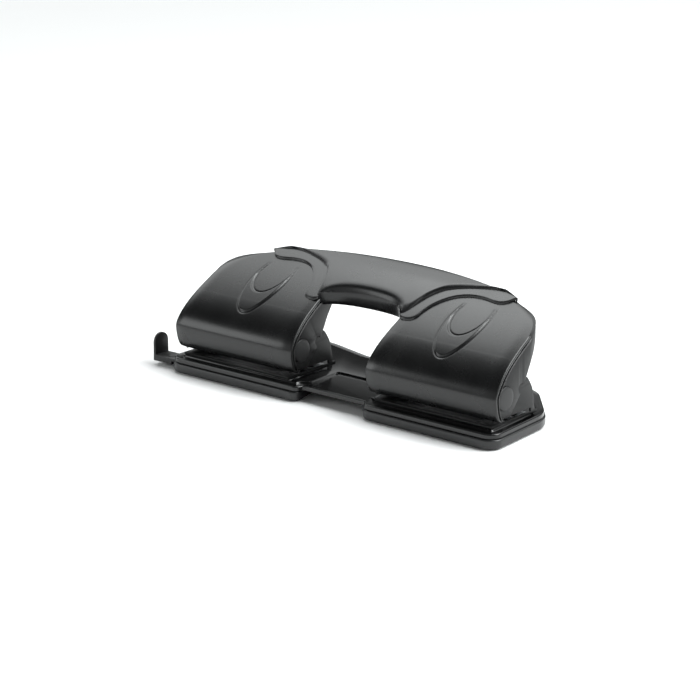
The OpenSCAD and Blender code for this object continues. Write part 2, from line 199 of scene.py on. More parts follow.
def remap(nodes, links, value, low, high):
    """Spreads the usual range of the noise, 0.3 to 0.7, over low to high."""
    node = nodes.new("ShaderNodeMapRange")
    node.inputs["From Min"].default_value = 0.3
    node.inputs["From Max"].default_value = 0.7
    node.inputs["To Min"].default_value = low
    node.inputs["To Max"].default_value = high
    links.new(value, node.inputs["Value"])
    return node.outputs["Result"]


def bump(nodes, links, shader, layers):
    """Adds bump layers, each (height value, distance in metres, strength)."""
    normal = None
    for height, distance, strength in layers:
        node = nodes.new("ShaderNodeBump")
        node.inputs["Distance"].default_value = distance
        node.inputs["Strength"].default_value = strength
        links.new(height, node.inputs["Height"])
        if normal:
            links.new(normal, node.inputs["Normal"])
        normal = node.outputs["Normal"]
    links.new(normal, shader.inputs["Normal"])


def mottled(nodes, links, shader, dark, light, value):
    """Base colour between a dark and a light tone, by the value."""
    blend = nodes.new("ShaderNodeMix")
    blend.data_type = "RGBA"
    blend.inputs["A"].default_value = (*dark, 1)
    blend.inputs["B"].default_value = (*light, 1)
    links.new(value, blend.inputs["Factor"])
    links.new(blend.outputs["Result"], shader.inputs["Base Color"])


def enamel(name, dark, light, roughness, peel, specular=0.5):
    """Stove enamel on steel: fine orange peel and faint cloudiness."""
    material, nodes, links, shader = blank_material(name)
    fine = noise(nodes, links, 1600, 2)
    peel_noise = noise(nodes, links, 420, 2)
    cloud = noise(nodes, links, 38, 4)
    mottled(nodes, links, shader, dark, light, remap(nodes, links, cloud, 0, 1))
    links.new(remap(nodes, links, cloud, roughness * 0.88, roughness * 1.12), shader.inputs["Roughness"])
    bump(nodes, links, shader, [(peel_noise, 0.0004, peel), (fine, 0.0001, peel * 0.7)])
    shader.inputs["Specular IOR Level"].default_value = specular
    return material


def moulded(name, dark, light, roughness, grain, grain_scale=900):
    """Moulded plastic: fine spark-eroded grain and slight flow marks."""
    material, nodes, links, shader = blank_material(name)
    fine = noise(nodes, links, grain_scale, 3, 0.6)
    flow = noise(nodes, links, 45, 3)
    mottled(nodes, links, shader, dark, light, remap(nodes, links, flow, 0, 1))
    links.new(remap(nodes, links, flow, roughness * 0.9, roughness * 1.1), shader.inputs["Roughness"])
    bump(nodes, links, shader, [(fine, 0.0002, grain)])
    shader.inputs["IOR"].default_value = 1.49
    return material


def steel(name, tone, roughness, stretch, brush=0.25):
    """Bare or plated steel with fine lines along one direction."""
    material, nodes, links, shader = blank_material(name)
    lines = noise(nodes, links, 260, 4, 0.6, stretch)
    stain = noise(nodes, links, 60, 4)
    dark = tuple(0.82 * c for c in tone)
    mottled(nodes, links, shader, dark, tone, remap(nodes, links, stain, 0, 1))
    links.new(remap(nodes, links, lines, roughness * 0.75, roughness * 1.3), shader.inputs["Roughness"])
    bump(nodes, links, shader, [(lines, 0.0001, brush)])
    shader.inputs["Metallic"].default_value = 1.0
    return material


HOOD_PAINT = enamel("hood_enamel", (0.0048, 0.005, 0.0052), (0.006, 0.0062, 0.0064), 0.26, 0.05)
BASE_PAINT = enamel("base_enamel", (0.003, 0.003, 0.0032), (0.004, 0.004, 0.0042), 0.16, 0.03)
FRAME_PAINT = enamel("frame_enamel", (0.0045, 0.0047, 0.0049), (0.006, 0.0062, 0.0064), 0.42, 0.08, 0.35)
GRIP_PLASTIC = moulded("grip_plastic", (0.0075, 0.0077, 0.008), (0.0095, 0.0098, 0.0102), 0.26, 0.03)
TRAY_PLASTIC = moulded("tray_plastic", (0.016, 0.0165, 0.017), (0.02, 0.0205, 0.021), 0.3, 0.05)
GUIDE_PLASTIC = moulded("guide_plastic", (0.007, 0.0072, 0.0075), (0.009, 0.0093, 0.0096), 0.45, 0.12)
CAP_PLASTIC = moulded("cap_plastic", (0.006, 0.0062, 0.0065), (0.0075, 0.0077, 0.008), 0.45, 0.12)
RUBBER = moulded("foot_rubber", (0.008, 0.008, 0.008), (0.012, 0.012, 0.012), 0.75, 0.3)
ZINC = steel("zinc_steel", (0.55, 0.56, 0.57), 0.32, (0.2, 1, 1))
GROUND_STEEL = steel("bright_steel", (0.62, 0.63, 0.64), 0.2, (1, 1, 0.05), 0.12)
SPRING_WIRE = steel("spring_wire", (0.42, 0.43, 0.45), 0.3, (1, 1, 1), 0.1)


# ---------------------------------------------------------------- camera
# The camera was solved from the two heads, 160 mm apart, so that the outline lies on the photograph's.
CAMERA_AZIMUTH = math.radians(39.37)
CAMERA_ELEVATION = math.radians(16.45)
CAMERA_DISTANCE = 1.5693
CAMERA_LENS = 127.49
AIM_RIGHT, AIM_UP, AIM_BELOW_FLOOR = 0.0052, 0.0444, 0.012


def make_camera():
    """Camera at the photograph's viewing angle, aimed to the right of and above a point under the pivot."""
    turn = Euler((math.pi / 2 - CAMERA_ELEVATION, 0, CAMERA_AZIMUTH)).to_matrix()
    right, up, back = turn.col[0], turn.col[1], turn.col[2]
    datum = Vector((0, PIVOT_Y * MM, -AIM_BELOW_FLOOR))
    data = bpy.data.cameras.new("camera")
    data.lens = CAMERA_LENS
    data.sensor_width = 36
    data.clip_end = 20
    camera = bpy.data.objects.new("camera", data)
    camera.rotation_euler = turn.to_euler()
    camera.location = datum + right * AIM_RIGHT + up * AIM_UP + back * CAMERA_DISTANCE
    bpy.context.scene.collection.objects.link(camera)
    bpy.context.scene.camera = camera


make_camera()


# ---------------------------------------------------------------- hood
# The rear slope of a hood is one arc with its centre at ARC_Y, ARC_Z. The grip rests on the same arc.
ARC_Y, ARC_Z, ARC_R = 119.0, -130.0, 214.7
ARC_FROM_Y, ARC_TO_Y = 4.6, 50.0
HOOD_SHEET = 0.9
SIDE_ROLL = 1.3
CROWN_DROP, CROWN_WIDTH = 0.8, 6.5
CHIN = [-10.2, 15.6], [-12.2, 16.2], [-14.8, 21.5], [-15.2, 30]
NOSE = [-15.2, 30], [-15.2, 35], [-7.2, 44.3], [ARC_FROM_Y, 51.7]
CHIN_STEPS, NOSE_STEPS, ARC_STEPS = 40, 80, 120


def hood_z(y):
    """Height of the hood surface over its rear slope."""
    return ARC_Z + np.sqrt(ARC_R ** 2 - (np.asarray(y, float) - ARC_Y) ** 2)


def hood_profile():
    """The hood's middle line as [y, z] from its lower front edge to its back."""
    chin = bezier(*CHIN, CHIN_STEPS)
    nose = bezier(*NOSE, NOSE_STEPS)
    angle = np.arcsin((ARC_Y - np.linspace(ARC_FROM_Y, ARC_TO_Y, ARC_STEPS)) / ARC_R)
    back = np.stack([ARC_Y - ARC_R * np.sin(angle), ARC_Z + ARC_R * np.cos(angle)], axis=1)
    return np.concatenate([chin[:-1], nose[:-1], back])


# Half width of a hood over y, on its outer side and on the side that faces the other head.
HOOD_SIDE = smooth([[HOOD_HALF, -17], [HOOD_HALF - 0.9, -8], [48.2, 3], [47.5, 14], [46.8, 23],
                    [43.4, 32.4], [37.2, 39.6], [28, 45.4], [18, 50.4]], 8)
HOOD_INNER = np.array([[HOOD_HALF, -17], [HOOD_HALF - 0.9, -8], [48.2, 3], [47.5, 14], [47.5, 51]])

# The raised crescent: its two ellipses as (centre y, half width, half length), and its pressed edge.
CRESCENT_OUTER, CRESCENT_INNER = (24, 13.6, 27.4), (29, 12.6, 17.7)
CRESCENT_TIP_Y = 35.3
CRESCENT_RISE, CRESCENT_RAMP = 0.8, 0.8
TRENCH_DEPTH, TRENCH_AT, TRENCH_WIDTH = 0.3, 0.6, 0.55


def crescent_height(x, y):
    """Height of the crescent by distance inside its outline, with a shallow trench round it."""
    def inside(centre_y, a, b):
        dx, dy = x / a, (y - centre_y) / b
        f = np.sqrt(dx ** 2 + dy ** 2) + 1e-9
        slope = np.sqrt((dx / a) ** 2 + (dy / b) ** 2) / f
        return (1 - f) / slope
    between = np.minimum(inside(*CRESCENT_OUTER), -inside(*CRESCENT_INNER))
    depth_in = np.minimum(between, CRESCENT_TIP_Y - y)
    trench = TRENCH_DEPTH * np.exp(-((depth_in + TRENCH_AT) / TRENCH_WIDTH) ** 2)
    return CRESCENT_RISE * ease(depth_in / CRESCENT_RAMP) - trench


# The side edge of a hood as (distance in from the edge, depth below the surface): a folded-over flange
# with a groove, before the roll that brings it up to the surface.
HOOD_FLANGE = [(0.3, 4.3), (0.05, 4.15), (0, 3.9), (0.05, 3.55), (0.3, 3.4), (1.0, 3.35), (1.15, 3.2),
               (1.15, 2.3), (1.0, 2.1), (0.3, 2.0), (0.05, 1.85)]

# Rows across the hood are close together over the crescent only. The first ones curl the lower edge in.
CURL_ROWS, CURL = [0, 0, 0.12, 0.4], [0.9, 0.3, 0.1, 0.0]
FINE_FROM_Y, FINE_TO_Y, FINE_HALF = -5.5, 35, 15.2
FINE_STEP, CHIN_STEP, BACK_STEP = 0.3, 1.2, 1.3
# Near the lower edge the sides go straight in from the front, and turn to the surface's normal higher up.
LEVEL_FROM, LEVEL_OVER = 2, 12


def hood_line():
    """Rows of the hood: run along the profile, depth of the curl, points and unit normals."""
    profile = hood_profile()
    run = lengths(profile)
    total = run[-1]
    fine_from, fine_to = np.interp([FINE_FROM_Y, FINE_TO_Y], profile[CHIN_STEPS:, 0], run[CHIN_STEPS:])
    s = np.concatenate([CURL_ROWS, np.arange(CHIN_STEP, fine_from, CHIN_STEP),
                        np.arange(fine_from, fine_to, FINE_STEP), np.arange(fine_to, total, BACK_STEP),
                        [total]])
    curl = np.zeros(len(s))
    curl[:len(CURL)] = CURL
    spot = np.linspace(0, total, 600)
    tangent = np.gradient(along(profile, spot), axis=0)
    tangent /= np.linalg.norm(tangent, axis=1)[:, None]
    normal = np.stack([-np.interp(s, spot, tangent[:, 1]), np.interp(s, spot, tangent[:, 0])], axis=1)
    normal[:, 1] *= ease((s - LEVEL_FROM) / LEVEL_OVER)
    normal /= np.linalg.norm(normal, axis=1)[:, None]
    return s, curl, along(profile, s), normal


def build_hood(name, side, node):
    """Pressed cover: smooth sheet with rolled side edges and a raised crescent."""
    s, curl, line, normal = hood_line()
    order = np.argsort(HOOD_SIDE[:, 1])
    outer_w = np.interp(line[:, 0], HOOD_SIDE[order, 1], HOOD_SIDE[order, 0])
    inner_w = np.interp(line[:, 0], HOOD_INNER[:, 1], HOOD_INNER[:, 0])
    apart = np.arange(len(s)) * 1e-6 + s
    slant = np.clip(np.sqrt(1 + np.gradient(outer_w, apart) ** 2), 1, 3)

    turn = np.radians(np.linspace(0, 90, 9))
    flange_in, flange_down = np.array(HOOD_FLANGE).T
    edge_in = np.concatenate([flange_in, SIDE_ROLL * (1 - np.cos(turn))])
    edge_down = np.concatenate([flange_down, SIDE_ROLL * (1 - np.sin(turn))])
    fill = np.linspace(0, 1, 14)[1:]
    fine = np.linspace(-FINE_HALF, FINE_HALF, 104)[1:-1]
    points = []
    for k in range(len(s)):
        start_in = -inner_w[k] + edge_in
        start_out = outer_w[k] - edge_in * slant[k]
        x = np.concatenate([start_in, start_in[-1] + (-FINE_HALF - start_in[-1]) * fill, fine,
                            (start_out[-1] + (FINE_HALF - start_out[-1]) * fill)[::-1], start_out[::-1]])
        plain = np.zeros(len(x) - 2 * len(edge_in))
        to_edge = np.minimum(x - start_in[0] + edge_in[0], start_out[0] + edge_in[0] - x) - SIDE_ROLL
        crown = CROWN_DROP * np.clip(1 - to_edge / CROWN_WIDTH, 0, 1) ** 2
        depth = np.concatenate([edge_down, plain, edge_down[::-1]]) + crown + curl[k]
        depth -= crescent_height(x, line[k, 0]) if curl[k] == 0 else 0
        y = line[k, 0] - depth * normal[k, 0]
        z = line[k, 1] - depth * normal[k, 1]
        points.append(np.stack([side * x + side * HEAD_X, y, z], axis=1))
    faces = grid_faces(len(points), len(points[0]))
    if side < 0:
        faces = [face[::-1] for face in faces]
    hood = mesh_object(name, np.concatenate(points), faces, HOOD_PAINT)
    sheet = hood.modifiers.new("sheet", "SOLIDIFY")
    sheet.thickness = HOOD_SHEET * MM
    sheet.offset = 1
    split = hood.modifiers.new("crease", "EDGE_SPLIT")
    split.split_angle = math.radians(55)
    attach(hood, "lever")
    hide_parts(node)


# ---------------------------------------------------------------- handle
# Plan curves of the right half: the front edge of the bar, the edge of the lip that lies on the hood, and
# the foot of the step up to the bar. The rear edge is one arc.
LIP = 1.5
LAP_FROM_X, LAP_TO_X = 33.0, 99.0
STEP_REACH = 0.83
GRIP_FRONT = bezier([0, 27.4], [14, 27.2], [28.5, 25.5], [33, 16.4], 60)
LIP_EDGE = smooth([[33, 16.4], [35.4, 14.8], [40.6, 14.7], [44.6, 17.2], [46.4, 23], [49, 29.5],
                   [53.4, 35.6], [58.6, 40.2], [65.3, 43.2], [72, 44.3], [79, 44], [86, 42.9],
                   [91.3, 43.2], [95, 45.5], [97.4, 49], [99.2, 49.7]], 10)
STEP_EDGE = smooth([[33, 16.4], [35.6, 18.6], [37.8, 24], [40, 31.5], [45.3, 40.4], [52.6, 45.4],
                    [61, 48.8], [70, 51.4], [78, 53.2], [84.5, 54.4]], 10)
REAR_R, REAR_Y = 286.0, 67.5
BAR_LOW, BAR_BACK_LOW, APRON_LOW = 53.6, 60.4, 64.0
BAR_HALF, HOLLOW_HALF, BAR_WALL, BAR_ROOF = 32.3, 30.6, 3.8, 3.0
BAR_FRONT_ROLL, BAR_REAR_ROLL = 4.6, 4.5


def rear_y(x):
    """The grip's rear edge in plan."""
    return REAR_Y - REAR_R + np.sqrt(REAR_R ** 2 - x ** 2)


OVER_HOOD = [(10, 2.0), (20, 3.2), (27, 3.6), (36, 3.8), (46, 3.6)]
GRIP_TOP = smooth([[y, float(hood_z(y)) + over] for y, over in OVER_HOOD]
                  + [[55, 77.8], [61, 79.0], [68, 79.3]], 8)


def grip_z(y):
    """Height of the grip's top along its middle."""
    return np.interp(y, GRIP_TOP[:, 0], GRIP_TOP[:, 1])


def grip_columns():
    """Matching plan points on the front edge, the step and the rear edge, for the right half."""
    front = even(GRIP_FRONT, 44)
    bar = [(f, np.array([f[0], rear_y(f[0])])) for f in front[front[:, 0] < BAR_HALF]]
    t = np.linspace(0, 1, 130)
    lip = even(LIP_EDGE, len(t))
    step = along(STEP_EDGE, lengths(STEP_EDGE)[-1] * np.clip(t / STEP_REACH, 0, 1))
    past = t > STEP_REACH
    tail_x = np.linspace(STEP_EDGE[-1, 0], LAP_TO_X + 0.1, 40)
    tail = np.stack([tail_x, rear_y(tail_x) - 0.15], axis=1)
    step[past] = along(tail, (t[past] - STEP_REACH) / (1 - STEP_REACH) * 15)
    rear_x = np.maximum(LAP_FROM_X + (LAP_TO_X - LAP_FROM_X) * t ** 0.9, step[:, 0])
    rear = np.stack([rear_x, rear_y(rear_x)], axis=1)
    return bar, list(zip(lip, step, rear))


def bar_ring(f, r, x):
    """Cross-section of the bar between the heads, from its lower front edge over the top and back."""
    y0, y1 = f[1], r[1]
    front = smooth([[y0 + 5.2, BAR_LOW], [y0 + 2.7, BAR_LOW + 0.5], [y0 + 1.1, BAR_LOW + 2.6],
                    [y0 + 0.2, BAR_LOW + 6.2], [y0, BAR_LOW + 9.2], [y0 + 0.5, grip_z(y0) - 2.1],
                    [y0 + 2.0, grip_z(y0 + 2.0) - 0.5],
                    [y0 + BAR_FRONT_ROLL, grip_z(y0 + BAR_FRONT_ROLL)]], 6)
    front = even(front, 26)
    top_y = np.linspace(y0 + BAR_FRONT_ROLL, y1 - BAR_REAR_ROLL, 19)[1:]
    top = np.stack([top_y, grip_z(top_y)], axis=1)
    peak = grip_z(y1 - BAR_REAR_ROLL)
    back = even(smooth([[y1 - BAR_REAR_ROLL, peak], [y1 - 2.1, peak - 0.7], [y1 - 0.5, peak - 2.6],
                        [y1, peak - 6], [y1 - 0.6, peak - 11], [y1 - 2.6, BAR_BACK_LOW + 2.0],
                        [y1 - 5.6, BAR_BACK_LOW]], 5), 15)[1:]
    if x < HOLLOW_HALF:
        def roof(y, below=0.0):
            return [y, grip_z(y) - BAR_ROOF - below]
        y_in, y_out = y0 + BAR_WALL + 1, y1 - BAR_WALL - 1.2
        under = [[y_out - 2, BAR_BACK_LOW - 0.3], [y_out, BAR_BACK_LOW + 3], roof(y_out, 2),
                 roof(y_out - 2.8), roof((y0 + y1) / 2), roof(y_in + 2), roof(y_in, 1.6),
                 [y_in, BAR_LOW + 1.5]]
    else:
        ys = np.linspace(y1 - 8, y0 + 6.5, 8)
        under = [[y, BAR_LOW + (BAR_BACK_LOW - BAR_LOW) * (y - y0) / (y1 - y0)] for y in ys]
    ring = np.concatenate([front, top, back, np.array(under)])
    return np.stack([np.full(len(ring), x), ring[:, 0], ring[:, 1]], axis=1)


# The lap over a hood: rounding of the lip's edge, width and shape of the step, rounding of the rear edge,
# gap to the hood, and where the hood ends below. The bar fades out where less than FADE_RUN of it is left.
LIP_ROUND, STEP_RUN, REAR_ROLL = 0.75, 7.0, 4.5
STEP_AT = (0.03, 0.07, 0.11, 0.18, 0.26, 0.36, 0.48, 0.62, 0.8, 1.0)
CRISP_WIDTH, CRISP_SHARE = 0.11, 0.45
HOOD_GAP = 0.03
HOOD_BACK_Y = 50.5
FADE_RUN = 5.0


def step_share(k):
    """Share of the step's height over its width: a crisp foot, then a slow crown."""
    crown = 1 - (1 - max(0.0, k - CRISP_WIDTH) / (1 - CRISP_WIDTH)) ** 2
    return CRISP_SHARE * float(ease(k / CRISP_WIDTH)) + (1 - CRISP_SHARE) * crown


def lift(p):
    """Height just clear of the hood at a plan point."""
    return float(hood_z(p[1])) + HOOD_GAP


def lip_and_top(p):
    """Height of the lip's top and of the bar's top at a plan point."""
    low = lift(p) + LIP
    return low, max(low, float(grip_z(p[1])))


def heading(start, stop, fallback):
    """Unit vector from start to stop and its length; the fallback where they nearly meet."""
    way = stop - start
    far = np.linalg.norm(way)
    return (way / far if far > 0.05 else fallback), far


def lip_part(f, toward, flat):
    """The lip's edge and its top as far as the foot of the step, and the foot itself."""
    edge = min(LIP_ROUND, 0.45 * max(flat, 0.3))
    points = [[*f, lift(f)], [*f, lift(f) + 0.4 * LIP]]
    for a in np.radians(np.linspace(0, 90, 7)):
        p = f + toward * edge * (1 - math.cos(a))
        points.append([*p, lift(p) + LIP - edge * (1 - math.sin(a))])
    for k in np.linspace(0, 1, 8)[1:]:
        p = f + toward * (edge + (max(flat, edge) - edge) * k)
        points.append([*p, lift(p) + LIP])
    return points, f + toward * max(flat, edge)


def top_part(foot, stop, backward, rest):
    """The step and the bar's top, as far as the rounding of the rear edge."""
    fade = float(ease(rest / FADE_RUN))
    run = min(STEP_RUN, 0.5 * rest + 0.3)
    points = []
    for k in STEP_AT:
        p = foot + backward * run * k * min(1, rest)
        low, high = lip_and_top(p)
        points.append([*p, low + (high - low) * step_share(k) * fade])
    start = np.array(points[-1][:2])
    for k in np.linspace(0, 1, 19)[1:]:
        p = start + (stop - start) * k
        low, high = lip_and_top(p)
        points.append([*p, low * (1 - fade) + high * fade])
    return points


def rear_part(stop, backward, roll, peak, low):
    """The rear edge from the peak of the bar down to its lower edge."""
    drop = peak - low
    back = even(smooth([[0, peak], [0.53 * roll, peak - 0.16 * roll], [0.89 * roll, peak - 0.58 * roll],
                        [roll, peak - min(1.33 * roll, 0.5 * drop)], [roll, low + 0.2 * drop],
                        [roll - min(1.0, 0.4 * roll), low]], 5), 15)[1:]
    return [[*(stop + backward * offset), z] for offset, z in back]


def under_part(f, s, r, overhangs, low):
    """The underside: below the overhang to the back of the hood, then along the hood to the lip."""
    share = np.clip((HOOD_BACK_Y - s[1]) / max(r[1] - s[1], 1e-6), 0, 1)
    q = s + (r - s) * (share if overhangs else 0.9)
    q_low = low if overhangs else lift(q)
    points = [[*(r + (q - r) * 0.5), (low + q_low) / 2], [*q, q_low]]
    for k in np.linspace(0, 1, 7)[:-1]:
        p = q + (f - q) * k
        points.append([*p, lift(p)])
    return points


def lip_ring(f, s, r):
    """Cross-section where the grip laps over a hood.

    f, s and r are plan points on the lip's edge, the foot of the step and the rear edge."""
    ahead = (r - f) / max(np.linalg.norm(r - f), 1e-6)
    toward, flat = heading(f, s, ahead)
    backward, rest = heading(s, r, ahead)
    roll = min(REAR_ROLL, 0.4 * rest + 0.6)
    stop = r - backward * roll
    overhangs = r[1] > HOOD_BACK_Y + 1
    low = min(APRON_LOW, lift(r) - 1.0) if overhangs else lift(r) - 1.0
    lip, foot = lip_part(f, toward, flat)
    top = top_part(foot, stop, backward, rest)
    rear = rear_part(stop, backward, roll, top[-1][2], low)
    return np.array(lip + top + rear + under_part(f, s, r, overhangs, low))


def build_grip():
    """Handle grip as one skin over rings from left to right, the left half a mirror image of the right."""
    bar, lap = grip_columns()
    rings = [bar_ring(f, r, f[0]) for f, r in bar]
    for x in (HOLLOW_HALF + 0.02, BAR_HALF):
        f = np.array([x, np.interp(x, GRIP_FRONT[:, 0], GRIP_FRONT[:, 1])])
        rings.append(bar_ring(f, np.array([x, rear_y(x)]), x))
    rings.sort(key=lambda ring: ring[0][0])
    rings += [lip_ring(f, s, r) for f, s, r in lap]
    count = len(rings[0])
    left = [ring * np.array([-1, 1, 1]) for ring in rings[:0:-1]]
    every = left + rings
    faces = [face[::-1] for face in grid_faces(len(every), count, closed=True)]
    faces += end_faces(len(every), count)
    grip = mesh_object("grip", np.concatenate(every), faces, GRIP_PLASTIC, 50)
    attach(grip, "lever")
    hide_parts("handle_grip")


# ---------------------------------------------------------------- base
SKIRT_TOP = TRAY_HIGH.z - 1.6
TABLE_Z = PAN_HIGH.z
TABLE_RISE = 1.4
RIM_Z = TABLE_Z - TABLE_RISE
RAMP_INSET, RAMP_Y, RAMP_HALF = 5, 21.5, 1.6
NOTCH_LEFT, NOTCH_RIGHT = -20, 29
BASE_HALF = 131.0
BRIDGE_Y = -13.2
PUNCH_HOLE = 8.6
GUIDE_GAP, TAB_SLOT_TOP = 0.5, 1.1
# Outlines as corners in plan, counterclockwise: x, y and the radius of the rounding.
PAN_CORNERS = [(29.5, BRIDGE_Y, 2.5), (33, -19, 5), (BASE_HALF + 1.4, -19, 8), (BASE_HALF - 1.8, 39, 26),
               (100, 73, 22), (68, 74, 40), (30, 64, 30), (-30, 64, 30), (-68, 74, 40), (-100, 73, 22),
               (-BASE_HALF, 39, 24), (-BASE_HALF, -19, 9), (-22.4, -19, 4), (-20.2, BRIDGE_Y, 2)]
TRAY_CORNERS = [(28.5, 10, 3), (29.6, -20.2, 8), (BASE_HALF + 2.2, -20.2, 9), (BASE_HALF - 1, 39.5, 27),
                (100.4, 73.9, 22), (68, 74.8, 40), (28.5, 64.6, 8), (28.5, 56, 3), (-28.5, 56, 3),
                (-28.5, 64.6, 8), (-68, 74.8, 40), (-100.4, 73.9, 22), (-BASE_HALF - 0.8, 39.5, 24),
                (-BASE_HALF - 0.8, -20.2, 10), (-20.6, -20.2, 5), (-27.6, 10, 3)]


def corner(corners, i):
    """A corner, the unit vectors of the side before it and the side after it, and the sine of its turn."""
    a, b, c = (np.array(corners[(i + k) % len(corners)][:2], float) for k in (-1, 0, 1))
    u, v = (b - a) / np.linalg.norm(b - a), (c - b) / np.linalg.norm(c - b)
    return b, u, v, u[0] * v[1] - u[1] * v[0]


def inset_corners(corners, inset):
    """Corners of the outline moved inwards, each with the radius that keeps the arcs concentric."""
    moved = []
    for i in range(len(corners)):
        b, u, v, turn = corner(corners, i)
        left = np.array([-u[1] - v[1], u[0] + v[0]])
        x, y = b + left * inset / (1 + u @ v)
        moved.append((x, y, max(0.3, corners[i][2] - math.copysign(inset, turn))))
    return moved


def rounded(corners, arc_steps=12, side_steps=10):
    """Points round a polygon with rounded corners, always the same number for the same corner count."""
    count, arcs = len(corners), []
    for i in range(count):
        b, u, v, turn = corner(corners, i)
        half = math.atan2(abs(turn), 1 + u @ v)
        radius = corners[i][2]
        side = math.copysign(radius, turn) * np.array([-u[1], u[0]])
        start = b - u * radius * math.tan(half)
        arcs.append([start + u * radius * math.sin(w) + side * (1 - math.cos(w))
                     for w in np.linspace(0, 2 * half, arc_steps + 1)])
    points = []
    for i in range(count):
        points += arcs[i]
        a, b = arcs[i][-1], arcs[(i + 1) % count][0]
        points += [a + (b - a) * k / side_steps for k in range(1, side_steps)]
    return np.array(points)


def sweep(name, loops, material, crease=35):
    """Skin over a stack of [corners, z] loops, closed at both ends."""
    rings = [np.column_stack([ring, np.full(len(ring), z)])
             for ring, z in ((rounded(corners), z) for corners, z in loops)]
    count = len(rings[0])
    faces = [face[::-1] for face in grid_faces(len(rings), count, closed=True)]
    faces += end_faces(len(rings), count)
    return mesh_object(name, np.concatenate(rings), faces, material, crease)


def quarter(inset, z, radius, start, stop):
    """Rounding of a swept profile as (inset, z); 180 degrees faces outwards, 90 upwards."""
    return [(inset + radius * math.cos(math.radians(a)), z + radius * math.sin(math.radians(a)))
            for a in np.linspace(start, stop, 7)]


def box_cutter(low, high):
    """A box to take out of another piece, by its two corners."""
    (x0, y0, z0), (x1, y1, z1) = low, high
    points = [(x, y, z) for x in (x0, x1) for y in (y0, y1) for z in (z0, z1)]
    faces = [[0, 1, 3, 2], [4, 6, 7, 5], [0, 4, 5, 1], [2, 3, 7, 6], [0, 2, 6, 4], [1, 5, 7, 3]]
    return mesh_object("cutter", points, faces, RUBBER)


def round_cutter(x, y, z0, z1, radius):
    """An upright cylinder to take out of another piece."""
    return lathe("cutter", [(radius, z0), (radius, z1)], RUBBER, Vector((x, y, 0)),
                 Euler((0, 0, 0)).to_matrix(), 48)


def cut(obj, cutters):
    """Takes the cutters out of a closed piece and removes them."""
    bpy.context.view_layer.objects.active = obj
    for cutter in cutters:
        cutter.modifiers.clear()
        hole = obj.modifiers.new("cut", "BOOLEAN")
        hole.operation = "DIFFERENCE"
        hole.solver = "EXACT"
        hole.object = cutter
        bpy.ops.object.modifier_move_to_index(modifier="cut", index=0)
        bpy.ops.object.modifier_apply(modifier="cut")
        bpy.data.objects.remove(cutter)


def build_tray():
    """Skirt and floor of the chip tray, with slots for the paper guide and each side of the release tab."""
    profile = ([(9, 0.3), (1.5, 0.3)] + quarter(1.5, 1.8, 1.5, 270, 180)
               + quarter(0.9, SKIRT_TOP - 0.9, 0.9, 180, 90)
               + [(2.4, SKIRT_TOP), (2.4, TRAY_HIGH.z), (3.6, TRAY_HIGH.z), (3.6, 1.6), (4.4, 1.4)])
    tray = sweep("tray", [(inset_corners(TRAY_CORNERS, i), z) for i, z in profile], TRAY_PLASTIC)
    guide_low, guide_high = box_mm("paper_guide")
    slots = [box_cutter((BASE_HALF - 2.4, front, -1), (BASE_HALF + 4, back, TAB_SLOT_TOP))
             for front, back in ((-3.5, 0.9), (7, 32))]
    cut(tray, [box_cutter((-BASE_HALF - 4, guide_low.y - GUIDE_GAP, guide_low.z - GUIDE_GAP),
                          (-BASE_HALF + 5, guide_high.y + GUIDE_GAP, TRAY_HIGH.z + 1)), *slots])
    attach(tray, "tray")
    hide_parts("chip_tray")


def table_corners(inset):
    """Outline of the raised table, with a long ramp along its middle front edge."""
    edge = BRIDGE_Y + RAMP_INSET + inset
    ramp = RAMP_Y + RAMP_HALF * (2 * inset / TABLE_RISE - 1)
    left, right = NOTCH_LEFT - inset, NOTCH_RIGHT + inset
    notch = [(left, edge, 1.2), (left, ramp, 2.5), (right, ramp, 2.5), (right, edge, 1.2)]
    return inset_corners(PAN_CORNERS, RAMP_INSET + inset) + notch


def build_pan():
    """Pressed pan with a rolled rim and, as a second piece, the raised table. Both have the punch holes."""
    bottom = PAN_LOW.z
    profile = ([(1.2, RIM_Z - 1.2), (1.2, bottom), (0.3, bottom), (0, bottom + 0.3)]
               + quarter(0.9, RIM_Z - 0.5, 0.9, 180, 60) + [(1.9, RIM_Z + 0.1), (2.4, RIM_Z)])
    pan = sweep("pan", [(inset_corners(PAN_CORNERS, i), z) for i, z in profile], BASE_PAINT)
    steps = np.linspace(0, 1, 9)
    table = sweep("table", [(table_corners(-0.4), RIM_Z - 0.8)]
                  + [(table_corners(TABLE_RISE * t), RIM_Z + TABLE_RISE * float(ease(t))) for t in steps],
                  BASE_PAINT, 60)
    pins = [middle(f"punch_pin_{index}") for index in range(1, 5)]
    for piece in (pan, table):
        cut(piece, [round_cutter(pin.x, pin.y, RIM_Z - 3, TABLE_Z + 3, PUNCH_HOLE / 2) for pin in pins])
        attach(piece, "base")
        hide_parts("base_plate")


# ---------------------------------------------------------------- small pieces
def finish_cad_node(node, material, bevel):
    """A CAD node keeps its shape and takes a real material, rounded edges and smooth curves."""
    obj = frame["nodes"][node]
    obj.data.materials.clear()
    obj.data.materials.append(material)
    weld = obj.modifiers.new("weld", "WELD")
    weld.merge_threshold = 0.00001
    edge = obj.modifiers.new("edge", "BEVEL")
    edge.width = bevel * MM
    edge.segments = 2
    edge.limit_method = "ANGLE"
    edge.angle_limit = math.radians(40)
    edge.harden_normals = True
    obj.data.shade_smooth()
    split = obj.modifiers.new("crease", "EDGE_SPLIT")
    split.split_angle = math.radians(32)


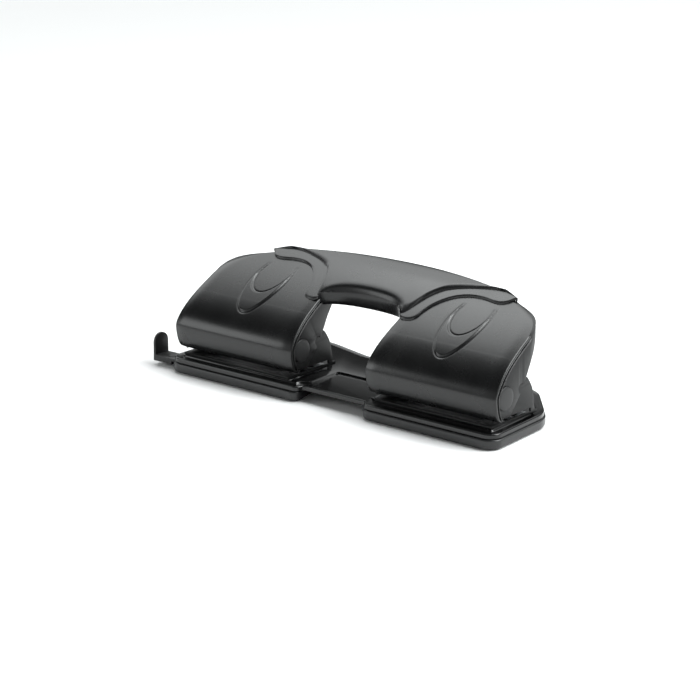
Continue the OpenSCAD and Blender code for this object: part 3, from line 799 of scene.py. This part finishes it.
SCREW_SPOTS = [(46.5, 45.0), (41.5, 37.5)]
SCREW_HEAD = -6.0
SCREW_PROFILE = [(1.4, SCREW_HEAD + 1), (1.5, SCREW_HEAD), (3.2, SCREW_HEAD), (3.5, SCREW_HEAD + 0.3),
                 (3.5, SCREW_HEAD + 2), (1.9, SCREW_HEAD + 2), (1.9, 0.6), (0.6, 0.9)]


def build_screws():
    """Pan-head screws that hold the strap and the grip. The heads are below, SCREW_HEAD from the hood."""
    for side, word in ((-1, "left"), (1, "right")):
        for x, y in SCREW_SPOTS:
            turn = Euler((math.asin((ARC_Y - y) / ARC_R), 0, 0)).to_matrix()
            at = Vector((side * x, y, float(hood_z(y))))
            screw = lathe(f"screw_{word}_{round(x)}", SCREW_PROFILE, ZINC, at, turn, 32)
            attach(screw, "lever")
            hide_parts("handle_screws")


CAP_ROUND, CAP_DOME = (0.55, 0.45), 0.32
SPRING_WIRE_RADIUS, SPRING_TURNS = 0.3, 4.5


def build_cap(index, x_side):
    """Round pivot cap with a rounded edge and a slight dome."""
    low, high = box_mm(f"pivot_cap_{index}")
    radius = (high.z - low.z) / 2
    thick = high.x - low.x
    at = Vector((low.x if x_side > 0 else high.x, 0, PIVOT_Z))
    turn = Euler((0, x_side * math.pi / 2, 0)).to_matrix()
    wall = thick * 0.45
    dome = [(radius, 0.02), (radius, wall)]
    dome += [(radius - CAP_ROUND[0] * (1 - math.cos(a)), wall + CAP_ROUND[1] * math.sin(a))
             for a in np.radians([30, 60, 90])]
    dome += [(radius * k, thick - CAP_DOME * (k ** 2)) for k in (0.86, 0.7, 0.5, 0.3, 0.12, 0.01)]
    cap = lathe(f"cap_{index}", dome, CAP_PLASTIC, at, turn)
    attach(cap, "lever")
    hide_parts(f"pivot_cap_{index}")


def build_spring(index):
    """Coil round a punch pin, as tall as the CAD spring it replaces."""
    low, high = box_mm(f"return_spring_{index}")
    centre = (low + high) / 2
    wire = SPRING_WIRE_RADIUS
    coil = (high.x - low.x) / 2 - wire
    per_turn, sides = 40, 12
    steps = int(SPRING_TURNS * per_turn)
    points = []
    for k in range(steps + 1):
        a = 2 * math.pi * k / per_turn
        z = low.z + wire + (high.z - low.z - 2 * wire) * k / steps
        points += [(centre.x + (coil + wire * math.cos(b)) * math.cos(a),
                    centre.y + (coil + wire * math.cos(b)) * math.sin(a), z + wire * math.sin(b))
                   for b in np.linspace(0, 2 * math.pi, sides, endpoint=False)]
    faces = grid_faces(steps + 1, sides, closed=True) + end_faces(steps + 1, sides)
    spring = mesh_object(f"spring_{index}", points, faces, SPRING_WIRE)
    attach(spring, "base")
    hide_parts(f"return_spring_{index}")
    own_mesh(spring)


# ---------------------------------------------------------------- studio
# Brightness of the sky by angle in degrees, from the horizon behind (0) over the top (90) to the front (180).
SKY = [(0, 0.03), (15, 0.05), (24, 0.25), (33, 1.0), (42, 1.9), (55, 2.2), (68, 2.2), (76, 1.7), (85, 0.85),
       (92, 0.3), (100, 0.1), (108, 0.02), (132, 0.02), (142, 0.5), (152, 0.5), (168, 0.45), (180, 0.4)]
COOL = (0.975, 1.0, 1.0)


def softbox(name, location, size, radiance, aim):
    """A rectangular lamp with the same brightness over its face, whatever its size."""
    data = bpy.data.lights.new(name, "AREA")
    data.shape = "RECTANGLE"
    data.size, data.size_y = size
    data.color = COOL
    data.energy = radiance * math.pi * size[0] * size[1]
    light = bpy.data.objects.new(name, data)
    light.location = location
    light.rotation_euler = (Vector(location) - Vector(aim)).to_track_quat("Z", "Y").to_euler()
    bpy.context.scene.collection.objects.link(light)


FLOOR_SIZE, FLOOR_DROP = 14, 0.0002


def build_floor():
    """Plain white floor just under the desk level."""
    bpy.ops.mesh.primitive_plane_add(size=FLOOR_SIZE, location=(0, 0, -FLOOR_DROP))
    floor = bpy.context.object
    floor.name = "studio_floor"
    material, nodes, links, shader = blank_material("studio_floor")
    tone = noise(nodes, links, 3, 2)
    mottled(nodes, links, shader, (0.93, 0.93, 0.93), (0.95, 0.95, 0.95), tone)
    shader.inputs["Roughness"].default_value = 0.8
    floor.data.materials.append(material)


def build_sky():
    """Sky that is bright over the back, dark between the top and the front, and dim in front."""
    world = bpy.data.worlds.new("studio")
    bpy.context.scene.world = world
    world.use_nodes = True
    nodes, links = world.node_tree.nodes, world.node_tree.links
    background = nodes["Background"]
    coords = nodes.new("ShaderNodeTexCoord")
    split = nodes.new("ShaderNodeSeparateXYZ")
    angle = nodes.new("ShaderNodeMath")
    angle.operation = "ARCTAN2"
    share = nodes.new("ShaderNodeMath")
    share.operation = "DIVIDE"
    share.inputs[1].default_value = math.pi
    ramp = nodes.new("ShaderNodeValToRGB")
    brightest = max(level for _, level in SKY)
    stops = ramp.color_ramp.elements
    for degrees, _ in SKY[1:-1]:
        stops.new(degrees / 180)
    for stop, (degrees, level) in zip(stops, SKY):
        stop.position = degrees / 180
        stop.color = (*(level / brightest * channel for channel in COOL), 1)
    links.new(coords.outputs["Generated"], split.inputs["Vector"])
    links.new(split.outputs["Z"], angle.inputs[0])
    links.new(split.outputs["Y"], angle.inputs[1])
    links.new(angle.outputs["Value"], share.inputs[0])
    links.new(share.outputs["Value"], ramp.inputs["Fac"])
    links.new(ramp.outputs["Color"], background.inputs["Color"])
    background.inputs["Strength"].default_value = brightest


def build_studio():
    """White floor and sky, a wide lamp overhead, a small one low in front and one for the far floor."""
    build_floor()
    build_sky()
    bpy.context.scene.view_settings.view_transform = "Standard"
    softbox("overhead", (0.02, 0.24, 0.6), (1.0, 0.38), 1.6, (0.02, 0.24, 0))
    softbox("front_left", (-0.53, -0.44, 0.25), (0.3, 0.3), 2.6, (-0.1, 0, 0.03))
    softbox("right", (1.1, 0.7, 1.3), (1.3, 1.3), 6.0, (0, 0.3, 0))


# ---------------------------------------------------------------- assembly
for cap, cap_side in ((1, -1), (2, 1), (3, -1), (4, 1)):
    build_cap(cap, cap_side)
for pin in range(1, 5):
    build_spring(pin)
build_hood("hood_left", -1, "hood_cover_left")
build_hood("hood_right", 1, "hood_cover_right")
build_grip()
build_screws()
build_tray()
build_pan()

CAD_FINISH = [(GUIDE_PLASTIC, 0.4, ["paper_guide"]), (RUBBER, 0.2, ["rubber_feet"]),
              (ZINC, 0.15, ["guide_keepers", "die_plate_left", "die_plate_right", "pin_guide_left",
                            "pin_guide_right", "handle_strap"]),
              (FRAME_PAINT, 0.2, ["head_frame_left", "head_frame_right", "lever_frame_left",
                                  "lever_frame_right", "frame_rivets_left", "frame_rivets_right"]),
              (GROUND_STEEL, 0.1, ["pivot_axle_left", "pivot_axle_right", "press_rod_left",
                                   "press_rod_right", "punch_pin_1", "punch_pin_2", "punch_pin_3",
                                   "punch_pin_4"])]
for material, bevel, names in CAD_FINISH:
    for node in names:
        finish_cad_node(node, material, bevel)

build_studio()
